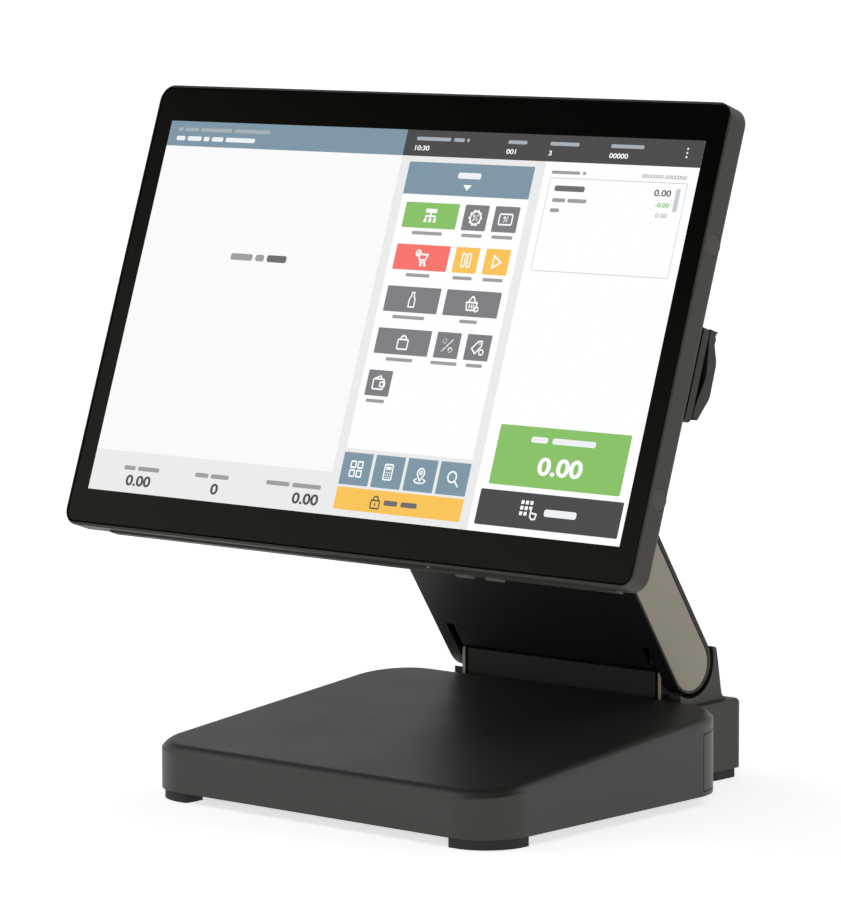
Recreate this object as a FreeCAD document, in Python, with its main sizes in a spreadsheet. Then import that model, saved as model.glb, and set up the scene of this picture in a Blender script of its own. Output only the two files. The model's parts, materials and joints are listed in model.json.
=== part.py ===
"""Self checkout terminal: a touch display on a folding arm that stands on a weighted base.

Units are millimetres.  +Z is up, +Y points to the back, and the origin is the
middle of the footprint on the counter.  Arm pieces are drawn in the arm's own
frame (z along the arm, origin on the fold axis) and display pieces in the
display's own frame (y into the housing, origin at the screen's centre); a
Placement then leans each of them.
"""
import FreeCAD, Part
import Sketcher
import math
import os
import re

ALONG_X = FreeCAD.Vector(1, 0, 0)
UP = FreeCAD.Vector(0, 0, 1)

doc = FreeCAD.newDocument("checkout_terminal")
dims = doc.addObject("Spreadsheet::Sheet", "dims")

DRIVING_SIZES = [
    # base slab
    ("slab_half_width", 114.5),
    ("slab_front", -119),
    ("slab_rear", 68),
    ("slab_bottom", 5),
    ("slab_top_front", 27.5),
    ("slab_top_rear", 45.8),
    ("slab_front_radius", 25),
    ("slab_rear_radius", 30),
    ("slab_edge_chamfer", 3.2),
    ("slab_top_blend", 7),
    ("shell_wall", 2.5),
    ("seam", 0.45),
    ("corner_cover_front", 41),
    ("corner_cover_bottom", 7.6),
    ("corner_cover_drop", 7.5),
    ("floor_plate_thickness", 2),
    ("counter_hole_spacing", 100),
    ("counter_hole_radius", 2.25),
    ("counter_hole_y", -28),
    ("weight_half_width", 42),
    ("weight_thickness", 12),
    ("weight_front", -96),
    ("weight_rear", 40),
    # pedestal and fold hinge
    ("pedestal_half_width", 78.5),
    ("pedestal_front", 68.3),
    ("pedestal_rear", 119),
    ("pedestal_top", 40.3),
    ("cradle_half_width", 74.6),
    ("cradle_radius", 17.8),
    ("fold_axis_y", 82),
    ("fold_axis_z", 62),
    ("ear_inner", 63.6),
    ("ear_outer", 65.6),
    ("ear_radius", 10.5),
    ("bracket_bottom", 32),
    ("bracket_top", 34.5),
    ("hinge_cover_half_width", 61.9),
    ("hinge_cover_front", 68.6),
    ("hinge_cover_top", 59),
    ("shaft_radius", 4),
    ("running_gap", 0.05),
    ("fit_gap", 0.02),
    ("bush_radius", 6),
    ("friction_radius", 7.5),
    ("friction_inner", 45),
    ("friction_outer", 56.5),
    # arm
    ("arm_lean", 33.8),
    ("arm_length", 200),
    ("arm_half_width", 74.6),
    ("arm_radius", 15.6),
    ("arm_wall", 2.5),
    ("rear_skin_radius", 12.7),
    ("frame_half_width", 60),
    ("frame_sheet", 2.5),
    ("frame_radius", 8.5),
    ("notch_half_width", 66.5),
    ("slot_inner", 61.5),
    ("slot_height", 22),
    ("notch_height", 8.2),
    ("neck_notch_half_width", 46),
    ("inlay_radius", 13.33),
    ("inlay_shift", -0.88),
    ("inlay_depth", 1.3),
    # display
    ("display_lean", 19.04),
    ("pivot_depth", 37.56),
    ("pivot_height", 1.32),
    ("glass_half_width", 183),
    ("glass_low", -114.3),
    ("glass_high", 114.3),
    ("glass_radius", 5.5),
    ("glass_thickness", 1.8),
    ("active_half_width", 172.1),
    ("active_half_height", 96.8),
    ("housing_half_width", 184),
    ("housing_low", -115.9),
    ("housing_high", 115.6),
    ("housing_radius", 8.5),
    ("housing_depth", 13.5),
    ("rim_proud", 0.3),
    ("rim_depth", 2.6),
    ("lip_left", -155.4),
    ("lip_right", 172),
    ("lip_low", -117),
    ("bulge_half_width", 162),
    ("bulge_low", -106),
    ("bulge_high", 98),
    ("bulge_depth", 21),
    ("skin", 2.2),
    ("bay_left", -156),
    ("bay_right", -84),
    ("bay_top", -60),
    ("chassis_depth", 7.7),
    ("board_depth", 10.6),
    ("board_thickness", 1.6),
    ("plug_radius", 5.2),
    ("plug_depth", 6.8),
    ("plug_upper", 49),
    ("plug_lower", -72),
    ("reader_left", 158),
    ("reader_low", -32.8),
    ("reader_high", 12),
    ("reader_back", 28.4),
    ("swipe_slot", 1.6),
    ("button_travel", 1),
]

for row, (alias, value) in enumerate(DRIVING_SIZES, start=1):
    dims.set(f"A{row}", alias.replace("_", " "))
    dims.set(f"B{row}", str(value))
    dims.setAlias(f"B{row}", alias)
doc.recompute()

ALIASES = {alias for alias, _ in DRIVING_SIZES}
SUB_PARTS = []


# ---------------------------------------------------------------- expressions
def link(expression):
    """The expression with each sheet alias written as a reference to the sheet."""
    def named(word):
        return f"dims.{word.group()}" if word.group() in ALIASES else word.group()
    return re.sub(r"[a-z_]+", named, str(expression))


def size(expression):
    """The value of an expression over the sheet's aliases."""
    value = dims.evalExpression(link(expression))
    return float(getattr(value, "Value", value))


def on_side(side, inner, outer):
    """Levels at inner and outer on the left (-1) or right (1) side, in rising order."""
    return sorted((f"{side} * ({inner})", f"{side} * ({outer})"), key=size)


# ---------------------------------------------------------------- sketch loops
def fix_point(sketch, geometry, position, place):
    """Hold one point of a sketch at place = (x, y), both driven by expressions."""
    for kind, axis, expression in (("DistanceX", -2, place[0]), ("DistanceY", -1, place[1])):
        value = size(expression)
        if value == 0 and not re.search("[a-z]", str(expression)):
            sketch.addConstraint(Sketcher.Constraint("PointOnObject", geometry, position, axis))
            continue
        index = sketch.addConstraint(Sketcher.Constraint(kind, -1, 1, geometry, position, value))
        sketch.setExpression(f"Constraints[{index}]", link(expression))


def fix_radius(sketch, geometry, radius):
    """Hold a circle's or an arc's radius at an expression's value."""
    index = sketch.addConstraint(Sketcher.Constraint("Radius", geometry, size(radius)))
    sketch.setExpression(f"Constraints[{index}]", link(radius))


def polygon(*corners):
    """A closed loop of straight sides; a corner is (x, y) or (x, y, rounding radius)."""
    def draw(sketch):
        points = [FreeCAD.Vector(size(corner[0]), size(corner[1]), 0) for corner in corners]
        radii = [size(corner[2]) if len(corner) > 2 else 0 for corner in corners]
        count = len(corners)
        ways = [(points[(i + 1) % count] - points[i]).normalize() for i in range(count)]
        trims = []
        for i in range(count):
            turn = ways[i - 1].getAngle(ways[i])
            trims.append(radii[i] * math.tan(turn / 2))
        sides = []
        for i in range(count):
            start = points[i] + ways[i] * trims[i]
            end = points[(i + 1) % count] - ways[i] * trims[(i + 1) % count]
            sides.append(sketch.addGeometry(Part.LineSegment(start, end), False))
        for i in range(count):
            before, after = sides[i - 1], sides[i]
            if radii[i] == 0:
                sketch.addConstraint(Sketcher.Constraint("Coincident", before, 2, after, 1))
                fix_point(sketch, after, 1, corners[i])
                continue
            first = points[i] - ways[i - 1] * trims[i]
            last = points[i] + ways[i] * trims[i]
            left_turn = ways[i - 1].cross(ways[i]).z > 0
            inward = FreeCAD.Vector(-ways[i - 1].y, ways[i - 1].x, 0) * (1 if left_turn else -1)
            centre = first + inward * radii[i]
            ends = (first, last) if left_turn else (last, first)
            angles = [math.atan2(end.y - centre.y, end.x - centre.x) for end in ends]
            if angles[1] < angles[0]:
                angles[1] += 2 * math.pi
            circle = Part.Circle(centre, UP, radii[i])
            arc = sketch.addGeometry(Part.ArcOfCircle(circle, angles[0], angles[1]), False)
            near, far = (1, 2) if left_turn else (2, 1)
            sketch.addConstraint(Sketcher.Constraint("Tangent", before, 2, arc, near))
            sketch.addConstraint(Sketcher.Constraint("Tangent", arc, far, after, 1))
            fix_radius(sketch, arc, corners[i][2])
            vertex = sketch.addGeometry(Part.Point(points[i]), True)
            sketch.addConstraint(Sketcher.Constraint("PointOnObject", vertex, 1, before))
            sketch.addConstraint(Sketcher.Constraint("PointOnObject", vertex, 1, after))
            fix_point(sketch, vertex, 1, corners[i])
    return draw


def rectangle(left, right, low, high, radius=None):
    """An upright rectangle, with all four corners rounded where a radius is given."""
    places = ((left, low), (right, low), (right, high), (left, high))
    if radius is None:
        return polygon(*places)
    return polygon(*(place + (radius,) for place in places))


def circle(x, y, radius):
    """A full circle."""
    def draw(sketch):
        centre = FreeCAD.Vector(size(x), size(y), 0)
        ring = sketch.addGeometry(Part.Circle(centre, UP, size(radius)), False)
        fix_point(sketch, ring, 3, (x, y))
        fix_radius(sketch, ring, radius)
    return draw


def obround(x, low, high, radius):
    """An upright slot outline: two half circles of one radius about (x, low) and (x, high)."""
    def draw(sketch):
        reach = size(radius)
        bottom = FreeCAD.Vector(size(x), size(low), 0)
        top = FreeCAD.Vector(size(x), size(high), 0)
        aside = FreeCAD.Vector(reach, 0, 0)
        right = sketch.addGeometry(Part.LineSegment(bottom + aside, top + aside), False)
        cap = sketch.addGeometry(Part.ArcOfCircle(Part.Circle(top, UP, reach), 0, math.pi), False)
        left = sketch.addGeometry(Part.LineSegment(top - aside, bottom - aside), False)
        lower_circle = Part.Circle(bottom, UP, reach)
        foot = sketch.addGeometry(Part.ArcOfCircle(lower_circle, math.pi, 2 * math.pi), False)
        sketch.addConstraint(Sketcher.Constraint("Tangent", right, 2, cap, 1))
        sketch.addConstraint(Sketcher.Constraint("Tangent", cap, 2, left, 1))
        sketch.addConstraint(Sketcher.Constraint("Tangent", left, 2, foot, 1))
        sketch.addConstraint(Sketcher.Constraint("Tangent", foot, 2, right, 1))
        fix_radius(sketch, cap, radius)
        fix_point(sketch, cap, 3, (x, high))
        fix_point(sketch, foot, 3, (x, low))
    return draw


# ---------------------------------------------------------------- body features
def new_body(label):
    """An empty PartDesign body."""
    body = doc.addObject("PartDesign::Body", label)
    body.Label = label
    return body


def sketch_on(body, plane, level, loops):
    """A sketch of the loops on a plane of the body, moved to a level along the plane's axis."""
    sketch = body.newObject("Sketcher::SketchObject", f"{body.Name}_outline")
    origin_plane = next(item for item in body.Origin.OriginFeatures if item.Role == f"{plane}_Plane")
    sketch.AttachmentSupport = [(origin_plane, "")]
    sketch.MapMode = "FlatFace"
    facing = "-1" if plane == "XZ" else "1"
    sketch.setExpression(".AttachmentOffset.Base.z", f"{facing} * ({link(level)})")
    for draw in loops:
        draw(sketch)
    return sketch


def extrude(body, plane, low, high, *loops):
    """Add the loops' solid between two levels: z on XY, y on XZ, x on YZ."""
    sketch = sketch_on(body, plane, low, loops)
    pad = body.newObject("PartDesign::Pad", f"{body.Name}_pad")
    pad.Profile = sketch
    pad.setExpression("Length", f"{link(high)} - ({link(low)})")
    pad.Reversed = plane == "XZ"
    sketch.Visibility = False
    doc.recompute()
    return pad


def cut(body, plane, low, high, *loops):
    """Remove the loops' solid between two levels, and make sure something was removed."""
    before = body.Shape.Volume
    sketch = sketch_on(body, plane, low if plane == "XZ" else high, loops)
    pocket = body.newObject("PartDesign::Pocket", f"{body.Name}_pocket")
    pocket.Profile = sketch
    pocket.setExpression("Length", f"{link(high)} - ({link(low)})")
    sketch.Visibility = False
    doc.recompute()
    if body.Shape.Volume >= before - 1e-6:
        raise RuntimeError(f"{body.Label}: a pocket removed nothing")
    return pocket


def edges_of(shape, wanted):
    """Names of the shape's edges that pass a test of their bounding box."""
    return [f"Edge{i}" for i, edge in enumerate(shape.Edges, start=1) if wanted(edge.BoundBox)]


def bevel_edges(body, width, wanted):
    """Chamfer the wanted edges of the body."""
    chamfer = body.newObject("PartDesign::Chamfer", f"{body.Name}_chamfer")
    base = chamfer.BaseFeature
    names = edges_of(base.Shape, wanted)
    if not names:
        raise RuntimeError(f"{body.Label}: no edges to bevel")
    chamfer.Base = (base, names)
    chamfer.setExpression("Size", link(width))
    doc.recompute()
    return chamfer


def round_edges(body, radius, wanted):
    """Fillet the wanted edges of the body."""
    fillet = body.newObject("PartDesign::Fillet", f"{body.Name}_fillet")
    fillet.Base = (body.Tip if body.Tip is not fillet else fillet.BaseFeature, [])
    base = fillet.BaseFeature
    names = edges_of(base.Shape, wanted)
    if not names:
        raise RuntimeError(f"{body.Label}: no edges to round")
    fillet.Base = (base, names)
    fillet.setExpression("Radius", link(radius))
    doc.recompute()
    return fillet


def repeat(body, feature, axis, length, count):
    """Repeat a feature in a row along one of the body's axes."""
    pattern = body.newObject("PartDesign::LinearPattern", f"{body.Name}_row")
    pattern.Originals = [feature]
    origin_axis = next(item for item in body.Origin.OriginFeatures if item.Role == f"{axis}_Axis")
    pattern.Direction = (origin_axis, [""])
    pattern.setExpression("Length", link(length))
    pattern.Occurrences = count
    body.Tip = pattern
    doc.recompute()
    return pattern


def upright(box):
    """True for a straight edge along Z."""
    return box.XLength < 1e-4 and box.YLength < 1e-4 and box.ZLength > 1


# ---------------------------------------------------------------- placing and keeping
# The screen's centre: from the fold axis up the arm to the tilt axis, then forward through the display.
SCREEN_Y = ("fold_axis_y - arm_length * sin(arm_lean * 1 deg)"
            " - pivot_depth * cos(display_lean * 1 deg) - pivot_height * sin(display_lean * 1 deg)")
SCREEN_Z = ("fold_axis_z + arm_length * cos(arm_lean * 1 deg)"
            " + pivot_depth * sin(display_lean * 1 deg) - pivot_height * cos(display_lean * 1 deg)")


def keep(item, frame="base"):
    """Count the item as a finished sub-part and place it in the frame it was drawn in."""
    if frame == "arm":
        place_at(item, "fold_axis_y", "fold_axis_z", "arm_lean")
    elif frame == "display":
        place_at(item, SCREEN_Y, SCREEN_Z, "-display_lean")
    SUB_PARTS.append(item)
    return item


def place_at(item, y, z, lean):
    """Lean the item about X and move it to (0, y, z)."""
    item.Placement = FreeCAD.Placement(FreeCAD.Vector(0, size(y), size(z)),
                                       FreeCAD.Rotation(ALONG_X, size(lean)))
    item.setExpression(".Placement.Base.y", link(y))
    item.setExpression(".Placement.Base.z", link(z))


def combine(kind, label, base, tool):
    """A Part boolean of two objects: kind is Cut, Common or Fuse."""
    result = doc.addObject(f"Part::{kind}", label)
    result.Label = label
    result.Base = base
    result.Tool = tool
    doc.recompute()
    return result


def group(label, members):
    """Identical separate pieces as one sub-part."""
    compound = doc.addObject("Part::Compound", label)
    compound.Label = label
    compound.Links = members
    doc.recompute()
    return compound


def ring(label, plane, low, high, x, y, outer, inner, frame):
    """A plain bush: a disc between two levels with a bore through it."""
    body = new_body(label)
    extrude(body, plane, low, high, circle(x, y, outer), circle(x, y, inner))
    return keep(body, frame)


def screw(name, x, y, z, head_radius, head_height, shank_radius, shank_length, pitch=0):
    """A pan-head screw pointing up from z; pitch turns it about X, in degrees."""
    head = doc.addObject("Part::Cylinder", f"{name}_head")
    head.Radius = head_radius
    head.Height = head_height
    shank = doc.addObject("Part::Cylinder", f"{name}_shank")
    shank.Radius = shank_radius
    shank.Height = shank_length
    shank.Placement.Base = FreeCAD.Vector(0, 0, head_height)
    recess = doc.addObject("Part::Prism", f"{name}_recess")
    recess.Polygon = 6
    recess.Circumradius = head_radius * 0.5
    recess.Height = head_height * 0.6
    whole = combine("Fuse", f"{name}_blank", head, shank)
    result = combine("Cut", name, whole, recess)
    result.Placement = FreeCAD.Placement(FreeCAD.Vector(x, y, z), FreeCAD.Rotation(ALONG_X, pitch))
    return result


# ================================================================ BASE
def slab_block(label, inset, bottom):
    """The wedge of the base slab, drawn in by inset on every side but the bottom."""
    body = new_body(label)
    extrude(body, "YZ", f"-slab_half_width + {inset}", f"slab_half_width - {inset}", polygon(
        (f"slab_front + {inset}", bottom),
        (f"slab_rear - {inset}", bottom),
        (f"slab_rear - {inset}", f"slab_top_rear - {inset}"),
        (f"slab_front + {inset}", f"slab_top_front - {inset}")))
    round_edges(body, f"slab_front_radius - {inset}", lambda box: upright(box) and box.YMax < 0)
    round_edges(body, f"slab_rear_radius - {inset}", lambda box: upright(box) and box.YMin > 0)
    return body


def corner_region(label, gap):
    """The part of the slab's side walls, behind and beside the pedestal, that is a separate cover."""
    body = new_body(label)
    for side_low, side_high in (("-slab_half_width - 5", f"-pedestal_half_width - 1 + {gap}"),
                                (f"pedestal_half_width + 1 - {gap}", "slab_half_width + 5")):
        extrude(body, "YZ", side_low, side_high, polygon(
            (f"corner_cover_front - {gap}", f"corner_cover_bottom - {gap}"),
            ("slab_rear + 5", f"corner_cover_bottom - {gap}"),
            ("slab_rear + 5", f"slab_top_rear - corner_cover_drop + {gap}"),
            (f"corner_cover_front - {gap}", f"slab_top_rear - corner_cover_drop - 3 + {gap}")))
    return body


def on_slab_top(box):
    """True for an edge that lies in the slab's sloping top."""
    slope = size("(slab_top_rear - slab_top_front) / (slab_rear - slab_front)")
    start, level = size("slab_front"), size("slab_top_front")
    return (abs(box.ZMin - level - (box.YMin - start) * slope) < 0.02
            and abs(box.ZMax - level - (box.YMax - start) * slope) < 0.02)


def base_slab():
    """The top cover, the two rear corner covers, the floor plate and the weight."""
    outer = slab_block("slab_outer", "0", "slab_bottom")
    top_edges = lambda box: box.ZMin > size("slab_top_front") - 1e-3
    bevel_edges(outer, "slab_edge_chamfer", top_edges)
    round_edges(outer, "slab_top_blend", on_slab_top)
    inner = slab_block("slab_inner", "shell_wall", "slab_bottom - 1")
    shell = combine("Cut", "slab_shell", outer, inner)
    recess = corner_region("corner_recess", "seam")
    keep(combine("Cut", "base_top_cover", shell, recess))

    for label, side in (("rear_corner_cover_left", -1), ("rear_corner_cover_right", 1)):
        low, high = on_side(side, "pedestal_half_width + 1", "slab_half_width + 5")
        region = new_body(f"{label}_region")
        extrude(region, "YZ", low, high, polygon(
            ("corner_cover_front", "corner_cover_bottom"),
            ("slab_rear + 5", "corner_cover_bottom"),
            ("slab_rear + 5", "slab_top_rear - corner_cover_drop"),
            ("corner_cover_front", "slab_top_rear - corner_cover_drop - 3")))
        keep(combine("Common", label, shell, region))

    plate = new_body("base_floor_plate")
    edge = "slab_half_width - shell_wall - 0.3"
    extrude(plate, "XY", "slab_bottom", "slab_bottom + floor_plate_thickness", polygon(
        (f"-({edge})", "slab_front + shell_wall + 0.3", "slab_front_radius - 2.8"),
        (edge, "slab_front + shell_wall + 0.3", "slab_front_radius - 2.8"),
        (edge, "slab_rear - shell_wall - 0.3", "slab_rear_radius - 2.8"),
        (f"-({edge})", "slab_rear - shell_wall - 0.3", "slab_rear_radius - 2.8")))
    half = "counter_hole_spacing / 2"
    cut(plate, "XY", "slab_bottom - 1", "slab_bottom + floor_plate_thickness + 1", *(
        circle(f"{x} * {half}", f"counter_hole_y + {y} * {half}", "counter_hole_radius")
        for x in (-1, 1) for y in (-1, 1)))
    keep(plate)

    weight = new_body("counterweight")
    low = "slab_bottom + floor_plate_thickness"
    extrude(weight, "XY", low, f"{low} + weight_thickness", rectangle(
        "-weight_half_width", "weight_half_width", "weight_front", "weight_rear", "4"))
    keep(weight)


def feet():
    """Two bent pads under the slab's front corners and two short ones under the pedestal."""
    outer_x = "slab_half_width - 1.5"
    front = "slab_front + 1.5"
    for label, side in (("front_left_foot", -1), ("front_right_foot", 1)):
        foot = new_body(label)
        extrude(foot, "XY", "0", "slab_bottom", polygon(
            (f"{side} * ({outer_x})", front, "slab_front_radius - 1.5"),
            (f"{side} * ({outer_x})", f"{front} + 28", "2"),
            (f"{side} * ({outer_x} - 13)", f"{front} + 28", "2"),
            (f"{side} * ({outer_x} - 13)", f"{front} + 13", "8"),
            (f"{side} * ({outer_x} - 28)", f"{front} + 13", "2"),
            (f"{side} * ({outer_x} - 28)", front, "2")))
        keep(foot)
    for label, side in (("rear_left_foot", -1), ("rear_right_foot", 1)):
        foot = new_body(label)
        low, high = on_side(side, "52", "pedestal_half_width - 1.8")
        extrude(foot, "XY", "0", "slab_bottom",
                rectangle(low, high, "pedestal_rear - 22", "pedestal_rear - 2", "3.5"))
        keep(foot)


def pedestal():
    """The block behind the slab, with the trough that the arm's lower end turns in."""
    block = new_body("hinge_pedestal")
    extrude(block, "YZ", "-pedestal_half_width", "pedestal_half_width",
            rectangle("pedestal_front", "pedestal_rear", "slab_bottom", "pedestal_top"))
    round_edges(block, "4.5", lambda box: upright(box) and box.YMin > size("pedestal_rear") - 1)
    round_edges(block, "2.2", lambda box: box.ZMin > size("pedestal_top") - 1e-3
                and box.YMax > size("pedestal_front") + 1)
    extrude(block, "YZ", "-cradle_half_width", "cradle_half_width", polygon(
        ("fold_axis_y - 9", "pedestal_top - 3"),
        ("fold_axis_y + 33", "pedestal_top - 3"),
        ("fold_axis_y + 33", "pedestal_top"),
        ("fold_axis_y + 24.9", "pedestal_top", "6"),
        ("fold_axis_y + 21.4", "fold_axis_z - 1.1", "3"),
        ("fold_axis_y + 19.9", "fold_axis_z + 6.2", "2.4"),
        ("fold_axis_y + 15.6", "fold_axis_z + 6.6"),
        ("fold_axis_y + 9", "fold_axis_z - 9"),
        ("fold_axis_y - 9", "fold_axis_z - 13.5")))
    cut(block, "YZ", "-cradle_half_width - 1", "cradle_half_width + 1",
        circle("fold_axis_y", "fold_axis_z", "cradle_radius"))
    cut(block, "XY", "slab_bottom - 1", "bracket_top", rectangle(
        "-pedestal_half_width + 3", "pedestal_half_width - 3",
        "pedestal_front + 2.7", "pedestal_rear - 3", "2"))
    for side in (-1, 1):
        low, high = on_side(side, "ear_inner - 0.3", "ear_outer + 0.3")
        cut(block, "XY", "bracket_top - 1", "fold_axis_z + 10",
            rectangle(low, high, "fold_axis_y - 11.1", "fold_axis_y + 7"))
    keep(block)

    closing = new_body("pedestal_floor_plate")
    extrude(closing, "XY", "slab_bottom", "slab_bottom + floor_plate_thickness", rectangle(
        "-pedestal_half_width + 3.3", "pedestal_half_width - 3.3",
        "pedestal_front + 3", "pedestal_rear - 3.3", "1.5"))
    keep(closing)


def fold_hinge():
    """The steel bracket, its shaft and friction clutches, and the cover in front of them."""
    bracket = new_body("hinge_bracket")
    extrude(bracket, "XY", "bracket_bottom", "bracket_top", rectangle(
        "-ear_outer", "ear_outer", "fold_axis_y - 10.8", "fold_axis_y + 14"))
    for side in (-1, 1):
        low, high = on_side(side, "ear_inner", "ear_outer")
        extrude(bracket, "YZ", low, high, polygon(
            ("fold_axis_y - 10.8", "bracket_bottom"), ("fold_axis_y + 6", "bracket_bottom"),
            ("fold_axis_y + 6", "fold_axis_z"), ("fold_axis_y - 8", "fold_axis_z"),
            ("fold_axis_y - 13.4", "fold_axis_z - 4.2", "2"),
            ("fold_axis_y - 13.4", "pedestal_top + 0.6"),
            ("fold_axis_y - 10.8", "pedestal_top + 0.6")))
        extrude(bracket, "YZ", low, high, circle("fold_axis_y", "fold_axis_z", "ear_radius"))
    cut(bracket, "YZ", "-ear_outer - 1", "ear_outer + 1",
        circle("fold_axis_y", "fold_axis_z", "shaft_radius + fit_gap"))
    keep(bracket)

    shaft = new_body("fold_shaft")
    extrude(shaft, "YZ", "-ear_outer - 1", "ear_outer + 1",
            circle("fold_axis_y", "fold_axis_z", "shaft_radius"))
    round_edges(shaft, "0.5", lambda box: box.XLength < 1e-3)
    keep(shaft)

    for label, side in (("fold_friction_clutch_left", -1), ("fold_friction_clutch_right", 1)):
        low, high = on_side(side, "friction_inner", "friction_outer")
        ring(label, "YZ", low, high, "fold_axis_y", "fold_axis_z", "friction_radius",
             "shaft_radius + fit_gap", "base")

    cover = new_body("hinge_cover")
    front = "hinge_cover_front"
    extrude(cover, "YZ", "-hinge_cover_half_width", "hinge_cover_half_width", polygon(
        (front, "pedestal_top + 0.2"), (f"{front} + 2", "pedestal_top + 0.2"),
        (f"{front} + 2", "hinge_cover_top - 2"), (f"{front} + 3.8", "hinge_cover_top - 2"),
        (f"{front} + 3.8", "hinge_cover_top"), (f"{front} + 1.3", "hinge_cover_top"),
        (front, "hinge_cover_top - 1.3")))
    keep(cover)


def base_screws():
    """Six screws that hold the slab's floor plate and four that hold the pedestal's."""
    low = size("slab_bottom + floor_plate_thickness")
    places = [(x, y) for x in (-96, 96) for y in (-80, -20, 40)]
    keep(group("floor_plate_screws", [
        screw(f"floor_screw_{i}", x, y, low, 3, 1.8, 1.5, 5)
        for i, (x, y) in enumerate(places, start=1)]))
    places = [(x, y) for x in (-34, 34) for y in (77, 109)]
    keep(group("pedestal_screws", [
        screw(f"pedestal_screw_{i}", x, y, low, 3, 1.8, 1.5, 5)
        for i, (x, y) in enumerate(places, start=1)]))


# ================================================================ ARM
def arm_block(label):
    """The arm's outer form: an obround section with softened side edges."""
    body = new_body(label)
    extrude(body, "YZ", "-arm_half_width", "arm_half_width",
            obround("0", "0", "arm_length", "arm_radius"))
    round_edges(body, "0.8", lambda box: box.XLength < 1e-3)
    return body


def notch_arm(body):
    """Clear the arm's skin around the fold hinge below and the display's neck above."""
    cut(body, "YZ", "-notch_half_width", "notch_half_width", polygon(
        ("-20", "notch_height"), ("0", "notch_height"), ("0", "0"),
        ("14", "-14"), ("14", "-20"), ("-20", "-20")))
    cut(body, "YZ", "-neck_notch_half_width", "neck_notch_half_width", polygon(
        ("0", "arm_length"), ("18.1", "arm_length + 8.5"), ("18.1", "arm_length + 25"),
        ("-25", "arm_length + 25"), ("-25", "arm_length - 10.5"), ("0", "arm_length - 10.5")))


def rear_zone(label, skin_radius, start_y, start_z):
    """Everything behind the arm's rear seam, outside the seam's radius."""
    wedge = new_body(f"{label}_wedge")
    extrude(wedge, "YZ", "-arm_half_width - 5", "arm_half_width + 5", polygon(
        ("0", "0"), (start_y, start_z), ("25", start_z), ("25", "arm_length + 25"),
        ("0", "arm_length + 25")))
    core = new_body(f"{label}_core")
    extrude(core, "YZ", "-arm_half_width - 6", "arm_half_width + 6",
            obround("0", "0", "arm_length", skin_radius))
    return combine("Cut", label, wedge, core)


def arm_screw_places():
    """Where the rear cover's screws go, as (x, z) in the arm's frame."""
    return [(x, z) for x in (-48, 48) for z in (42, 150)]


def arm_covers():
    """The front cover with its cheeks, the rear cover, and the two side inlays."""
    front = arm_block("arm_front_blank")
    cut(front, "YZ", "-arm_half_width + 3.2", "arm_half_width - 3.2",
        obround("0", "0", "arm_length", "arm_radius - arm_wall"))
    notch_arm(front)
    for side in (-1, 1):
        low, high = on_side(side, "slot_inner", "notch_half_width")
        cut(front, "YZ", low, high, polygon(
            ("-20", "-20"), ("-8", "-20"), ("-8", "slot_height"), ("-20", "slot_height")))
        low, high = on_side(side, "arm_half_width - inlay_depth", "arm_half_width + 1")
        cut(front, "YZ", low, high, obround("inlay_shift", "-0.4", "arm_length", "inlay_radius"))
    rear_gap = rear_zone("rear_seam_outer", "rear_skin_radius - 0.3", "2.5", "-20")
    keep(combine("Cut", "arm_front_cover", front, rear_gap),
         "arm")

    rear = arm_block("arm_rear_blank")
    notch_arm(rear)
    for side in (-1, 1):
        low, high = on_side(side, "arm_half_width - inlay_depth", "arm_half_width + 1")
        cut(rear, "YZ", low, high, obround("inlay_shift", "-0.4", "arm_length", "inlay_radius"))
    cut(rear, "XZ", "rear_skin_radius + 1.1", "arm_radius + 1",
        *(circle(x, z, "2.9") for x, z in arm_screw_places()))
    cut(rear, "XZ", "rear_skin_radius - 1", "rear_skin_radius + 2",
        *(circle(x, z, "1.65") for x, z in arm_screw_places()))
    rear_side = rear_zone("rear_seam_inner", "rear_skin_radius", "2.9", "-20")
    keep(combine("Common", "arm_rear_cover", rear, rear_side),
         "arm")

    for label, side in (("arm_inlay_left", -1), ("arm_inlay_right", 1)):
        inlay = new_body(label)
        low, high = on_side(side, "arm_half_width - inlay_depth", "arm_half_width - 0.15")
        extrude(inlay, "YZ", low, high,
                obround("inlay_shift", "-0.4", "arm_length", "inlay_radius - 0.15"))
        keep(inlay, "arm")


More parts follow.
